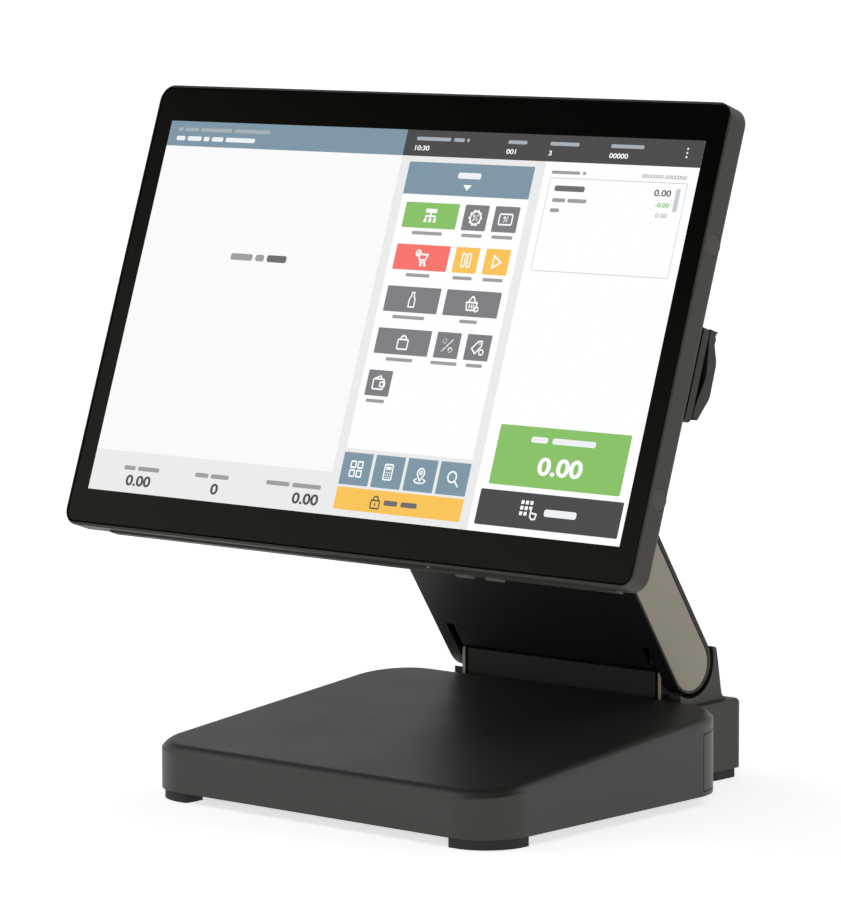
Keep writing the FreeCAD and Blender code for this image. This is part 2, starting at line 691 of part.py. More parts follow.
def arm_frame():
    """A steel channel that carries both shafts, with its bushes, clutches and screws."""
    frame = new_body("arm_frame")
    for side in (-1, 1):
        low, high = on_side(side, "frame_half_width - frame_sheet", "frame_half_width")
        extrude(frame, "YZ", low, high, obround("0", "0", "arm_length", "frame_radius"))
    extrude(frame, "XZ", "-1.25", "1.25", rectangle(
        "-frame_half_width + 1", "frame_half_width - 1", "20", "arm_length - 18", "2"))
    cut(frame, "YZ", "-frame_half_width - 1", "frame_half_width + 1",
        circle("0", "0", "bush_radius + fit_gap"))
    cut(frame, "YZ", "-frame_half_width - 1", "frame_half_width + 1",
        circle("0", "arm_length", "shaft_radius + fit_gap"))
    cut(frame, "XZ", "-2", "2", *(circle(x, z, "1.6") for x, z in arm_screw_places()))
    cut(frame, "XZ", "-2", "2", *(
        rectangle(x - 12, x + 12, low, low + 42, "6") for x in (-22, 22) for low in (50, 104)))
    keep(frame, "arm")

    for label, side in (("fold_bush_left", -1), ("fold_bush_right", 1)):
        low, high = on_side(side, "frame_half_width - frame_sheet - 0.4", "frame_half_width + 0.6")
        ring(label, "YZ", low, high, "0", "0", "bush_radius", "shaft_radius + running_gap", "arm")

    shaft = new_body("tilt_shaft")
    extrude(shaft, "YZ", "-frame_half_width - 2", "frame_half_width + 2",
            circle("0", "arm_length", "shaft_radius"))
    round_edges(shaft, "0.5", lambda box: box.XLength < 1e-3)
    keep(shaft, "arm")

    for label, side in (("tilt_friction_clutch_left", -1), ("tilt_friction_clutch_right", 1)):
        low, high = on_side(side, "neck_notch_half_width + 1", "friction_outer")
        ring(label, "YZ", low, high, "0", "arm_length", "friction_radius", "shaft_radius + fit_gap",
             "arm")

    keep(group("arm_cover_screws", [
        screw(f"arm_screw_{i}", x, size("rear_skin_radius") + 2.7, z, 2.7, 1.6, 1.5, 13, 90)
        for i, (x, z) in enumerate(arm_screw_places(), start=1)]), "arm")


# ================================================================ DISPLAY
def screen_stack():
    """Cover glass, its adhesive frame, the panel behind it and the steel chassis."""
    glass = new_body("cover_glass")
    extrude(glass, "XZ", "0", "glass_thickness", rectangle(
        "-glass_half_width", "glass_half_width", "glass_low", "glass_high", "glass_radius"))
    round_edges(glass, "0.3", lambda box: box.YMax < 1e-3)
    keep(glass, "display")

    adhesive = new_body("glass_adhesive")
    extrude(adhesive, "XZ", "glass_thickness", "glass_thickness + 0.4",
            rectangle("-glass_half_width + 0.8", "glass_half_width - 0.8", "glass_low + 0.8",
                      "glass_high - 0.8", "5"),
            rectangle("-active_half_width - 6.5", "active_half_width + 6.5", "-active_half_height - 7.5",
                      "active_half_height + 7.5", "2"))
    keep(adhesive, "display")

    panel = new_body("lcd_panel")
    extrude(panel, "XZ", "glass_thickness + 0.4", "chassis_depth - 0.4", rectangle(
        "-active_half_width - 5.5", "active_half_width + 5.5",
        "-active_half_height - 6.5", "active_half_height + 6.5"))
    keep(panel, "display")

    chassis = new_body("display_chassis")
    extrude(chassis, "XZ", "chassis_depth", "chassis_depth + 1", rectangle(
        "-active_half_width - 4", "active_half_width + 4",
        "-active_half_height - 4", "active_half_height + 4", "3"))
    cut(chassis, "XZ", "chassis_depth - 1", "chassis_depth + 2",
        rectangle("bay_left - 3", "bay_right + 3", "-active_half_height - 6", "bay_top + 3", "2"),
        *(rectangle(x, x + 22, 62, 80, "3") for x in (40, 76, 112)),
        *(circle(x, z, "1.55") for x, z in housing_screw_places()))
    keep(chassis, "display")


def display_frame():
    """The slim rim round the glass."""
    rim = new_body("display_rim")
    extrude(rim, "XZ", "-rim_proud", "rim_depth", rectangle(
        "-housing_half_width", "housing_half_width", "housing_low", "housing_high", "housing_radius"))
    round_edges(rim, "0.45", lambda box: box.YMax < size("-rim_proud") + 1e-3)
    cut(rim, "XZ", "-rim_proud - 1", "glass_thickness + 0.4", rectangle(
        "-glass_half_width - 0.2", "glass_half_width + 0.2",
        "glass_low - 0.2", "glass_high + 0.2", "glass_radius + 0.2"))
    cut(rim, "XZ", "0", "rim_depth + 1", rectangle(
        "-active_half_width - 6", "active_half_width + 6",
        "-active_half_height - 7", "active_half_height + 7", "1"))
    for side in (-1, 1):
        low, high = on_side(side, "housing_half_width - 0.98", "housing_half_width + 1")
        cut(rim, "YZ", low, high, circle("plug_depth", "plug_upper", "plug_radius + 0.1"),
            circle("plug_depth", "plug_lower", "plug_radius + 0.1"))
    keep(rim, "display")


def housing_cavities(body):
    """Hollow the housing: the shallow tray and the deeper middle."""
    cut(body, "XZ", "rim_depth - 1", "housing_depth - skin", rectangle(
        "-housing_half_width + skin", "housing_half_width - skin",
        "housing_low + skin", "housing_high - skin", "housing_radius - skin"))
    cut(body, "XZ", "housing_depth - skin - 1", "bulge_depth - skin", rectangle(
        "-bulge_half_width + skin", "bulge_half_width - skin",
        "bulge_low + skin", "bulge_high - skin", "10"))


def rear_housing():
    """The housing behind the glass, with vents, the socket bay, button windows and plug seats."""
    body = new_body("rear_housing")
    extrude(body, "XZ", "rim_depth", "housing_depth", rectangle(
        "-housing_half_width", "housing_half_width", "housing_low", "housing_high", "housing_radius"))
    round_edges(body, "3", lambda box: box.YMin > size("housing_depth") - 1e-3)
    extrude(body, "XZ", "rim_depth + 2.4", "housing_depth - 3.4", rectangle(
        "lip_left", "lip_right", "lip_low", "housing_low + 4", "1.0"))
    extrude(body, "XZ", "housing_depth - 1", "bulge_depth", rectangle(
        "-bulge_half_width", "bulge_half_width", "bulge_low", "bulge_high", "12"))
    round_edges(body, "3", lambda box: box.YMin > size("bulge_depth") - 1e-3)
    housing_cavities(body)
    # socket bay: walls first, then the hollow that opens to the back and down
    extrude(body, "XZ", "chassis_depth + 0.3", "bulge_depth - 0.2", rectangle(
        "bay_left - 2", "bay_right + 2", "bulge_low + 0.3", "bay_top + 2"))
    cut(body, "XZ", "chassis_depth + 1.8", "bulge_depth + 1", rectangle(
        "bay_left", "bay_right", "bulge_low - 3", "bay_top"))
    # windows for the sockets in the bay's top wall
    for left, right, low, high in SOCKET_WINDOWS.values():
        cut(body, "XY", "bay_top - 1", "bay_top + 3", rectangle(left, right, low, high))
    # windows for the two buttons, the status light and the speaker slots in the lower edge
    for left, right in BUTTON_SPANS.values():
        cut(body, "XY", "lip_low - 1", "housing_low + skin + 1",
            rectangle(left - 0.3, right + 0.3, 5.4, 9.4, "1.4"))
    cut(body, "XY", "lip_low - 1", "housing_low + skin + 1",
        *(obround(centre + x, 6.2, 8.6, "0.7") for centre in (-145, 145) for x in range(-12, 13, 4)))
    cut(body, "XY", "lip_low - 1", "housing_low + skin + 1", circle("58", "4", "0.75"))
    # shallow seats for the side plugs
    for side in (-1, 1):
        low, high = on_side(side, "housing_half_width - 1.2", "housing_half_width + 1")
        cut(body, "YZ", low, high, circle("plug_depth", "plug_upper", "plug_radius + 0.1"),
            circle("plug_depth", "plug_lower", "plug_radius + 0.1"))
    # bosses that reach the chassis, with seats and clearance holes for the screws
    extrude(body, "XZ", "chassis_depth + 1.05", "bulge_depth - skin + 0.2",
            *(circle(x, z, "3.2") for x, z in housing_screw_places()))
    cut(body, "XZ", "bulge_depth - 1.9", "bulge_depth + 1",
        *(circle(x, z, "2.8") for x, z in housing_screw_places()))
    cut(body, "XZ", "chassis_depth", "bulge_depth + 1",
        *(circle(x, z, "1.6") for x, z in housing_screw_places()))
    # vents, one row above and one below the neck
    for low in (72, -98):
        left = -78 if low < 0 else -98
        vent = cut(body, "XZ", "bulge_depth - skin - 1", "bulge_depth + 1",
                   obround(left, low + 2, low + 18, "1.2"))
        repeat(body, vent, "X", -2 * left, -2 * left // 7 + 1)
    keep(body, "display")


SOCKET_WINDOWS = {
    # left, right, low and high depth of each socket as it passes the bay's top wall
    "network": (-152, -135.6, 10.6, 18.6),
    "usb": (-131.5, -102.1, 11.6, 18.6),
    "power": (-98, -88, 10.6, 18.6),
}
BUTTON_SPANS = {"power_button": (73.5, 84), "brightness_button": (92, 102.5)}


def bottom_controls():
    """Power and brightness buttons, their switch board, and the status light."""
    for label, (left, right) in BUTTON_SPANS.items():
        button = new_body(label)
        extrude(button, "XY", "lip_low - 1.3", "housing_low + skin + 0.3",
                rectangle(left, right, 5.7, 9.1, "1.2"))
        extrude(button, "XY", "housing_low + skin + 0.3", "housing_low + skin + 1.1", rectangle(
            left - 1.2, right + 1.2, 4.9, 9.7, "0.8"))
        round_edges(button, "0.5", lambda box: box.ZMax < size("lip_low - 1.3") + 1e-3)
        keep(button, "display")
    board = new_body("switch_board")
    extrude(board, "XY", "housing_low + skin + 3.6", "housing_low + skin + 4.8",
            rectangle(54, 108, 3, 10.4, "0.6"))
    keep(board, "display")
    light = new_body("status_light")
    extrude(light, "XY", "housing_low - 0.1", "housing_low + skin + 3.4", circle("58", "4", "0.7"))
    keep(light, "display")


def sockets():
    """Network, USB and power sockets, facing down into the bay."""
    left, right, low, high = SOCKET_WINDOWS["network"]
    network = new_body("network_socket")
    extrude(network, "XY", "bay_top + 0.2", "bay_top + 20",
            rectangle(left + 0.2, right - 0.2, low + 0.2, high - 0.2))
    cut(network, "XY", "bay_top - 1", "bay_top + 14",
        rectangle(left + 2.2, right - 2.2, low + 1.2, high - 1.2))
    extrude(network, "XY", "bay_top + 2.5", "bay_top + 14",
            rectangle(left + 3, right - 3, high - 3.2, high - 1.2))
    keep(network, "display")

    left, right, low, high = SOCKET_WINDOWS["usb"]
    usb = new_body("usb_sockets")
    extrude(usb, "XY", "bay_top + 0.2", "bay_top + 17",
            rectangle(left + 0.2, right - 0.2, low + 0.2, high - 0.2))
    middle = (left + right) / 2
    for inner in (left + 1, middle + 0.8):
        cut(usb, "XY", "bay_top - 1", "bay_top + 13",
            rectangle(inner, inner + 12.9, low + 0.8, high - 0.8))
        extrude(usb, "XY", "bay_top + 1.2", "bay_top + 13.5",
                rectangle(inner + 0.8, inner + 12.1, low + 1.6, low + 3.4))
    keep(usb, "display")

    left, right, low, high = SOCKET_WINDOWS["power"]
    power = new_body("power_socket")
    extrude(power, "XY", "bay_top + 0.2", "bay_top + 14",
            rectangle(left + 0.2, right - 0.2, low + 0.2, high - 0.2))
    middle = (left + right) / 2
    cut(power, "XY", "bay_top - 1", "bay_top + 11", circle(middle, (low + high) / 2, "3"))
    extrude(power, "XY", "bay_top + 1.5", "bay_top + 11.5", circle(middle, (low + high) / 2, "1.1"))
    keep(power, "display")


def electronics():
    """The main board with its heat sink, drive and memory, and two speakers."""
    board = new_body("main_board")
    extrude(board, "XZ", "board_depth", "board_depth + board_thickness",
            rectangle(-158, 30, "bay_top + 2.6", 84, "2"))
    cut(board, "XZ", "board_depth - 1", "board_depth + 3",
        rectangle(-153, -87, "bay_top - 5", "bay_top + 21", "1"))
    keep(board, "display")
    face = "board_depth + board_thickness"

    sink = new_body("heat_sink")
    extrude(sink, "XZ", face, f"{face} + 1.4", rectangle(-60, 10, 8, 66, "1"))
    fin = extrude(sink, "XZ", f"{face} + 1", f"{face} + 5.6", rectangle(-60, -58.8, 8, 66))
    repeat(sink, fin, "X", "68.8", 18)
    keep(sink, "display")

    for label, outline in (("storage_drive", rectangle(-152, -72, 50, 72, "1")),
                           ("memory_module", rectangle(-146, -78, 2, 32, "1"))):
        card = new_body(label)
        extrude(card, "XZ", f"{face} + 0.8", f"{face} + 3.6", outline)
        extrude(card, "XZ", face, f"{face} + 0.8",
                rectangle(-112, -104, *((54, 68) if "drive" in label else (8, 26))))
        keep(card, "display")

    for label, side in (("speaker_left", -1), ("speaker_right", 1)):
        speaker = new_body(label)
        left, right = sorted((side * 128, side * 162))
        extrude(speaker, "XY", "housing_low + skin + 0.2", "housing_low + skin + 7.6", rectangle(
            left, right, 3.2, 11, "1.5"))
        keep(speaker, "display")


def neck():
    """The steel bracket that joins the display to the tilt shaft, its bushes and its cover."""
    back = "bulge_depth + 0.05"
    bracket = new_body("tilt_bracket")
    extrude(bracket, "XZ", back, f"{back} + 2",
            rectangle(-43, 43, "pivot_height - 15.5", "pivot_height + 15.5", "2"))
    for side in (-1, 1):
        low, high = sorted((side * 40.5, side * 43))
        extrude(bracket, "YZ", low, high, polygon(
            (back, "pivot_height - 12"), ("pivot_depth", "pivot_height - 9"),
            ("pivot_depth", "pivot_height + 9"), (back, "pivot_height + 12")))
        extrude(bracket, "YZ", low, high, circle("pivot_depth", "pivot_height", "9"))
    cut(bracket, "YZ", -44, 44, circle("pivot_depth", "pivot_height", "bush_radius + fit_gap"))
    keep(bracket, "display")

    for label, side in (("tilt_bush_left", -1), ("tilt_bush_right", 1)):
        low, high = sorted((side * 40.2, side * 43.1))
        ring(label, "YZ", low, high, "pivot_depth", "pivot_height", "bush_radius",
             "shaft_radius + running_gap", "display")

    cover = new_body("neck_cover")
    half = "neck_notch_half_width - 1.2"
    extrude(cover, "YZ", f"-({half})", half, polygon(
        (back, "pivot_height - 20"), ("pivot_depth - 6", "pivot_height - 11.5", "5"),
        ("pivot_depth - 6", "pivot_height + 11.5", "5"), (back, "pivot_height + 20")))
    extrude(cover, "YZ", f"-({half})", half, circle("pivot_depth", "pivot_height", "11.8"))
    round_edges(cover, "0.6", lambda box: box.XLength < 1e-3 and box.YMin > size(back) + 0.01)
    inner = f"{half} - 1.5"
    cut(cover, "YZ", f"-({inner})", inner, polygon(
        ("bulge_depth - 1", "pivot_height - 17.5"), ("pivot_depth", "pivot_height - 9.6"),
        ("pivot_depth", "pivot_height + 9.6"), ("bulge_depth - 1", "pivot_height + 17.5")))
    cut(cover, "YZ", f"-({inner})", inner, circle("pivot_depth", "pivot_height", "9.8"))
    cut(cover, "YZ", f"-({half}) - 1", f"{half} + 1",
        circle("pivot_depth", "pivot_height", "shaft_radius + 0.6"))
    keep(cover, "display")


def side_details():
    """Side plugs and the card reader that hangs behind the display's right edge."""
    for label, side in (("side_plugs_left", -1), ("side_plugs_right", 1)):
        low, high = on_side(side, "housing_half_width - 0.95", "housing_half_width - 0.1")
        discs = []
        for name, height in (("upper", "plug_upper"), ("lower", "plug_lower")):
            disc = new_body(f"{label}_{name}")
            extrude(disc, "YZ", low, high, circle("plug_depth", height, "plug_radius"))
            discs.append(disc)
        keep(group(label, discs), "display")

    start = "housing_depth + 0.1"
    middle = "(reader_low + reader_high) / 2"
    right = "housing_half_width - 0.7"
    shoe = new_body("card_reader_base")
    extrude(shoe, "XZ", start, f"{start} + 4.5", rectangle(
        "bulge_half_width + 0.6", right, "reader_low", "reader_high", "2"))
    extrude(shoe, "XZ", "bulge_depth + 0.1", "reader_back - 4", rectangle(
        "reader_left", f"{right} - 12", "reader_low + 1", "reader_high - 1", "2"))
    extrude(shoe, "XZ", f"{start} + 4", "bulge_depth + 0.6", rectangle(
        "bulge_half_width + 0.6", f"{right} - 12", "reader_low + 1", "reader_high - 1", "2"))
    keep(shoe, "display")

    cover = new_body("card_reader_cover")
    front = f"{start} + 4.5 + swipe_slot"
    extrude(cover, "YZ", f"{right} - 11.8", right, polygon(
        (f"{front} - 0.8", "reader_low + 3"), ("reader_back - 5.8", "reader_low + 2", "1"),
        ("reader_back - 3.9", "reader_low + 6.3", "3"), ("reader_back", "reader_low + 14.2", "8"),
        ("reader_back - 0.4", f"{middle} + 8.5", "9"), ("reader_back - 4.7", "reader_high - 6", "2"),
        ("reader_back - 4.3", "reader_high - 3.6", "0.6"), ("reader_back - 10", "reader_high", "2"),
        (f"{front} - 0.8", "reader_high"), (f"{front} - 0.8", "reader_high - 4"),
        (f"{front} + 3", f"{middle} + 1", "14"), (f"{front} - 0.8", "reader_low + 7")))
    keep(cover, "display")

    head = new_body("card_reader_head")
    extrude(head, "XZ", "reader_back - 3.8", "reader_back - 1.5", rectangle(
        "reader_left + 2", f"{right} - 12.4", f"{middle} - 9", f"{middle} + 9", "1"))
    keep(head, "display")


def housing_screw_places():
    """Where the rear housing's screws go, as (x, z) in the display's frame."""
    return [(x, 88) for x in (-150, 150)] + [(x, -68) for x in (-70, 0, 70)] + [(150, -68)]


def housing_screws():
    """Six screws that pull the rear housing onto the chassis."""
    keep(group("housing_screws", [
        screw(f"housing_screw_{i}", x, size("bulge_depth") - 0.5, z, 2.6, 1.4, 1.4, 10.8, 90)
        for i, (x, z) in enumerate(housing_screw_places(), start=1)]), "display")


base_slab()
feet()
pedestal()
fold_hinge()
base_screws()
arm_covers()
arm_frame()
screen_stack()
display_frame()
rear_housing()
bottom_controls()
sockets()
electronics()
neck()
side_details()
housing_screws()

doc.recompute()
faults = []
for item in doc.Objects:
    if "Invalid" in item.State or "Error" in item.State:
        faults.append(f"{item.Label}: {item.State}")
for item in SUB_PARTS:
    if item.Shape.isNull() or not item.Shape.isValid() or not item.Shape.Solids:
        faults.append(f"{item.Label}: bad shape")
if faults:
    raise RuntimeError("; ".join(faults))

os.makedirs("parts", exist_ok=True)
for item in SUB_PARTS:
    item.Shape.exportStep(f"parts/{item.Label}.step")
    print(item.Label, len(item.Shape.Solids), round(item.Shape.Volume))
print(len(SUB_PARTS), "sub-parts")
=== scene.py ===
"""Looks of a counter-top self checkout terminal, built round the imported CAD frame.

The script works in metres in the row frame.  The screen's contents are drawn in
millimetres from the top left corner of the lit area and then laid on the glass.
"""
import bpy
import json
import math
from mathutils import Matrix, Vector


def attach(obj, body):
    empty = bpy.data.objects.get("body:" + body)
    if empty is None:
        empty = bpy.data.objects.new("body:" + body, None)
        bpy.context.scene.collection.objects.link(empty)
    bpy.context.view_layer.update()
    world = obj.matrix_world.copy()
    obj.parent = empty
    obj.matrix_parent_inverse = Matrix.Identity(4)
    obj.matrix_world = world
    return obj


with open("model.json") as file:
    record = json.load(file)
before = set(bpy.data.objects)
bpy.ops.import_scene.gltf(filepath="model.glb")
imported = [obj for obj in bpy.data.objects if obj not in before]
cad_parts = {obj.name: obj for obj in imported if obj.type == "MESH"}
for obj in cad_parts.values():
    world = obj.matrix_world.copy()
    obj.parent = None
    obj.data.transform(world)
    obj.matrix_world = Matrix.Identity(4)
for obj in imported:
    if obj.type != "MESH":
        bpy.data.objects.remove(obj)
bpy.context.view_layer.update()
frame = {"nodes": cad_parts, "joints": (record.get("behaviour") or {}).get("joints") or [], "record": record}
NODES = frame["nodes"]
MM = 0.001


# ================================================================ places worked out from the frame
def joint_place(name):
    """Row-frame point on a joint's axis."""
    return Vector(next(joint for joint in frame["joints"] if joint["name"] == name)["pos_m"])


# The display leans back, and its tilting axis lies behind and above the screen's centre.
SCREEN_LEAN = math.radians(19.04)
BACKWARD = Vector((0, math.cos(SCREEN_LEAN), -math.sin(SCREEN_LEAN)))
UPWARD = Vector((0, math.sin(SCREEN_LEAN), math.cos(SCREEN_LEAN)))
PIVOT_DEPTH, PIVOT_HEIGHT = 37.56 * MM, 1.32 * MM
SCREEN_CENTRE = joint_place("display_tilt") - BACKWARD * PIVOT_DEPTH - UPWARD * PIVOT_HEIGHT

# Sizes on the display, in millimetres: the lit area and the cover glass.
LIT_WIDTH, LIT_HEIGHT = 344.2, 193.6
GLASS_HALF_WIDTH, GLASS_HALF_HEIGHT, GLASS_RADIUS = 183, 114.3, 5.5


def on_display(x, depth, rise):
    """Row-frame point from millimetres right of, behind and above the screen's centre."""
    return SCREEN_CENTRE + Vector((x * MM, 0, 0)) + BACKWARD * (depth * MM) + UPWARD * (rise * MM)


# ================================================================ camera, light and floor
LENS = 186.54
CAMERA_PLACE = (1.5303, -1.7798, 0.4387)
CAMERA_AZIMUTH, CAMERA_ELEVATION, CAMERA_ROLL = 41.31, 6.62, -0.17
SUNS = {
    # azimuth, elevation, energy and the width of the disc
    "key": (20, 50, 0.2, 50),
    "left_fill": (-66, 43, 0.42, 30),
    "back_fill": (160, 38, 0.4, 30),
}
HORIZON_STRENGTH, OVERHEAD_STRENGTH = 1.08, 0.14
FADE_START, FADE_END = 0.32, 0.448
STUDIO_TINT = (1, 0.995, 0.98, 1)
FLOOR_REACH = 40
FLOOR_COLOUR = (0.9, 0.9, 0.9, 1)
FLOOR_GLOW = 0.66


def aim(azimuth, elevation, roll=0.0):
    """Rotation that looks at the object from an azimuth and elevation, in degrees."""
    a, e, r = (math.radians(angle) for angle in (azimuth, elevation, roll))
    back = Vector((math.sin(a) * math.cos(e), -math.cos(a) * math.cos(e), math.sin(e)))
    right = Vector((math.cos(a), math.sin(a), 0))
    up = back.cross(right)
    turned_right = right * math.cos(r) + up * math.sin(r)
    turned_up = up * math.cos(r) - right * math.sin(r)
    return Matrix((turned_right, turned_up, back)).transposed()


def add_camera():
    """A long lens from the front right, a little above the screen's middle."""
    data = bpy.data.cameras.new("camera")
    data.sensor_width = 36
    data.lens = LENS
    data.clip_start, data.clip_end = 0.05, 100
    camera = bpy.data.objects.new("camera", data)
    turn = aim(CAMERA_AZIMUTH, CAMERA_ELEVATION, CAMERA_ROLL)
    camera.matrix_world = Matrix.Translation(CAMERA_PLACE) @ turn.to_4x4()
    bpy.context.scene.collection.objects.link(camera)
    bpy.context.scene.camera = camera


def add_sun(name, azimuth, elevation, energy, softness):
    """A sun whose disc is softness degrees wide, so that its shadows are soft."""
    data = bpy.data.lights.new(name, "SUN")
    data.energy = energy
    data.angle = math.radians(softness)
    sun = bpy.data.objects.new(name, data)
    sun.matrix_world = aim(azimuth, elevation).to_4x4()
    bpy.context.scene.collection.objects.link(sun)


def empty_tree(owner):
    """The node tree of a material or world, with its default nodes removed."""
    owner.use_nodes = True
    owner.node_tree.nodes.clear()
    return owner.node_tree


def remap(tree, source, low, high, start=0.0, end=1.0):
    """A node that takes source from the span start..end to the span low..high."""
    node = tree.nodes.new("ShaderNodeMapRange")
    node.inputs["From Min"].default_value = start
    node.inputs["From Max"].default_value = end
    node.inputs["To Min"].default_value = low
    node.inputs["To Max"].default_value = high
    tree.links.new(source, node.inputs["Value"])
    return node


def add_world():
    """A pale studio that is bright near the horizon and dim overhead."""
    world = bpy.data.worlds.new("studio")
    bpy.context.scene.world = world
    tree = empty_tree(world)
    place = tree.nodes.new("ShaderNodeTexCoord")
    parts = tree.nodes.new("ShaderNodeSeparateXYZ")
    tree.links.new(place.outputs["Generated"], parts.inputs[0])
    level = remap(tree, parts.outputs["Z"], HORIZON_STRENGTH, OVERHEAD_STRENGTH, FADE_START, FADE_END)
    level.interpolation_type = "SMOOTHSTEP"
    background = tree.nodes.new("ShaderNodeBackground")
    background.inputs["Color"].default_value = STUDIO_TINT
    tree.links.new(level.outputs["Result"], background.inputs["Strength"])
    output = tree.nodes.new("ShaderNodeOutputWorld")
    tree.links.new(background.outputs[0], output.inputs["Surface"])


def add_floor():
    """A wide pale floor, faintly lit from within as a studio sweep is."""
    mesh = bpy.data.meshes.new("floor")
    corners = [(x * FLOOR_REACH, y * FLOOR_REACH, 0) for x, y in ((-1, -1), (1, -1), (1, 1), (-1, 1))]
    mesh.from_pydata(corners, [], [(0, 1, 2, 3)])
    floor = bpy.data.objects.new("floor", mesh)
    bpy.context.scene.collection.objects.link(floor)
    material = bpy.data.materials.new("floor")
    tree = empty_tree(material)
    diffuse = tree.nodes.new("ShaderNodeBsdfDiffuse")
    diffuse.inputs["Color"].default_value = FLOOR_COLOUR
    glow = tree.nodes.new("ShaderNodeEmission")
    glow.inputs["Strength"].default_value = FLOOR_GLOW
    both = tree.nodes.new("ShaderNodeAddShader")
    output = tree.nodes.new("ShaderNodeOutputMaterial")
    tree.links.new(diffuse.outputs[0], both.inputs[0])
    tree.links.new(glow.outputs[0], both.inputs[1])
    tree.links.new(both.outputs[0], output.inputs["Surface"])
    mesh.materials.append(material)


# ================================================================ materials
PATCH_SCALE, PATCH_DETAIL = 26, 5
# Painted shade in crevices: how far the occlusion looks, and how dark the deepest crevice is painted.
PAINTED_SHADE_REACH = 1.5 * MM
PAINTED_SHADE_DARKEST = 0.05
GRAIN_RELIEF = 0.1
NORMAL_EDGE = 0.4 * MM
SLAB_EDGE = 0.7 * MM
WARM_SHEEN = (1, 0.96, 0.88, 1)
PIXEL_SCALE = 900
# A Mix node's colour sockets are found by number, as its other kinds share their names.
MIX_FIRST, MIX_SECOND, MIX_RESULT = 6, 7, 2


def linear(red, green, blue):
    """Linear colour from 0-255 display values."""
    def one(value):
        value /= 255
        return value / 12.92 if value <= 0.04045 else ((value + 0.055) / 1.055) ** 2.4
    return (one(red), one(green), one(blue), 1)


def moulded(name, colour, roughness=0.5, grain=0.4 * MM, bump=0.25, mottle=0.08, specular=0.5, metallic=0.0,
            edge=NORMAL_EDGE, sheen=WARM_SHEEN):
    """A solid finish: fine grain in relief, faint patches of tone and gloss, softened edges, and painted shade
    that darkens colour and shine in crevices.
    """
    material = bpy.data.materials.new(name)
    tree = empty_tree(material)
    node, join = tree.nodes.new, tree.links.new
    place = node("ShaderNodeTexCoord")
    shader = node("ShaderNodeBsdfPrincipled")
    shader.inputs["Metallic"].default_value = metallic
    shader.inputs["Specular Tint"].default_value = sheen

    patches = node("ShaderNodeTexNoise")
    patches.inputs["Scale"].default_value = PATCH_SCALE
    patches.inputs["Detail"].default_value = PATCH_DETAIL
    join(place.outputs["Object"], patches.inputs["Vector"])
    tone = remap(tree, patches.outputs["Fac"], 1 - mottle, 1 + mottle)
    tint = node("ShaderNodeVectorMath")
    tint.operation = "MULTIPLY"
    tint.inputs[0].default_value = colour[:3]
    join(tone.outputs["Result"], tint.inputs[1])

    # Painted shade: colour and shine darken where ambient occlusion finds nearby surfaces.
    painted_shade = node("ShaderNodeAmbientOcclusion")
    painted_shade.samples = 4
    painted_shade.inputs["Distance"].default_value = PAINTED_SHADE_REACH
    unshaded_share = remap(tree, painted_shade.outputs["AO"], PAINTED_SHADE_DARKEST, 1, 0.15, 0.55)
    shaded = node("ShaderNodeVectorMath")
    shaded.operation = "SCALE"
    join(tint.outputs["Vector"], shaded.inputs[0])
    join(unshaded_share.outputs["Result"], shaded.inputs["Scale"])
    join(shaded.outputs["Vector"], shader.inputs["Base Color"])
    shine = node("ShaderNodeMath")
    shine.operation = "MULTIPLY"
    shine.inputs[0].default_value = specular
    join(unshaded_share.outputs["Result"], shine.inputs[1])
    join(shine.outputs[0], shader.inputs["Specular IOR Level"])

    gloss = remap(tree, patches.outputs["Fac"], roughness * 0.9, roughness * 1.1)
    join(gloss.outputs["Result"], shader.inputs["Roughness"])

    softened = node("ShaderNodeBevel")
    softened.samples = 4
    softened.inputs["Radius"].default_value = edge
    pits = node("ShaderNodeTexNoise")
    pits.inputs["Scale"].default_value = 1 / grain
    pits.inputs["Detail"].default_value = 2
    join(place.outputs["Object"], pits.inputs["Vector"])
    relief = node("ShaderNodeBump")
    relief.inputs["Strength"].default_value = bump
    relief.inputs["Distance"].default_value = grain * GRAIN_RELIEF
    join(pits.outputs["Fac"], relief.inputs["Height"])
    join(softened.outputs["Normal"], relief.inputs["Normal"])
    join(relief.outputs["Normal"], shader.inputs["Normal"])
    output = node("ShaderNodeOutputMaterial")
    join(shader.outputs[0], output.inputs["Surface"])
    return material


def lit(name, colour, strength=1.0):
    """A patch of the lit screen: its own light, with a fine pixel weave and no shine."""
    material = bpy.data.materials.new(name)
    tree = empty_tree(material)
    node, join = tree.nodes.new, tree.links.new
    place = node("ShaderNodeTexCoord")
    weave = node("ShaderNodeTexNoise")
    weave.inputs["Scale"].default_value = PIXEL_SCALE
    join(place.outputs["Object"], weave.inputs["Vector"])
    level = remap(tree, weave.outputs["Fac"], strength * 0.98, strength * 1.02)
    shader = node("ShaderNodeBsdfPrincipled")
    shader.inputs["Base Color"].default_value = (0.001, 0.001, 0.001, 1)
    shader.inputs["Roughness"].default_value = 0.4
    shader.inputs["Specular IOR Level"].default_value = 0.0
    shader.inputs["Emission Color"].default_value = colour
    join(level.outputs["Result"], shader.inputs["Emission Strength"])
    output = node("ShaderNodeOutputMaterial")
    join(shader.outputs[0], output.inputs["Surface"])
    return material


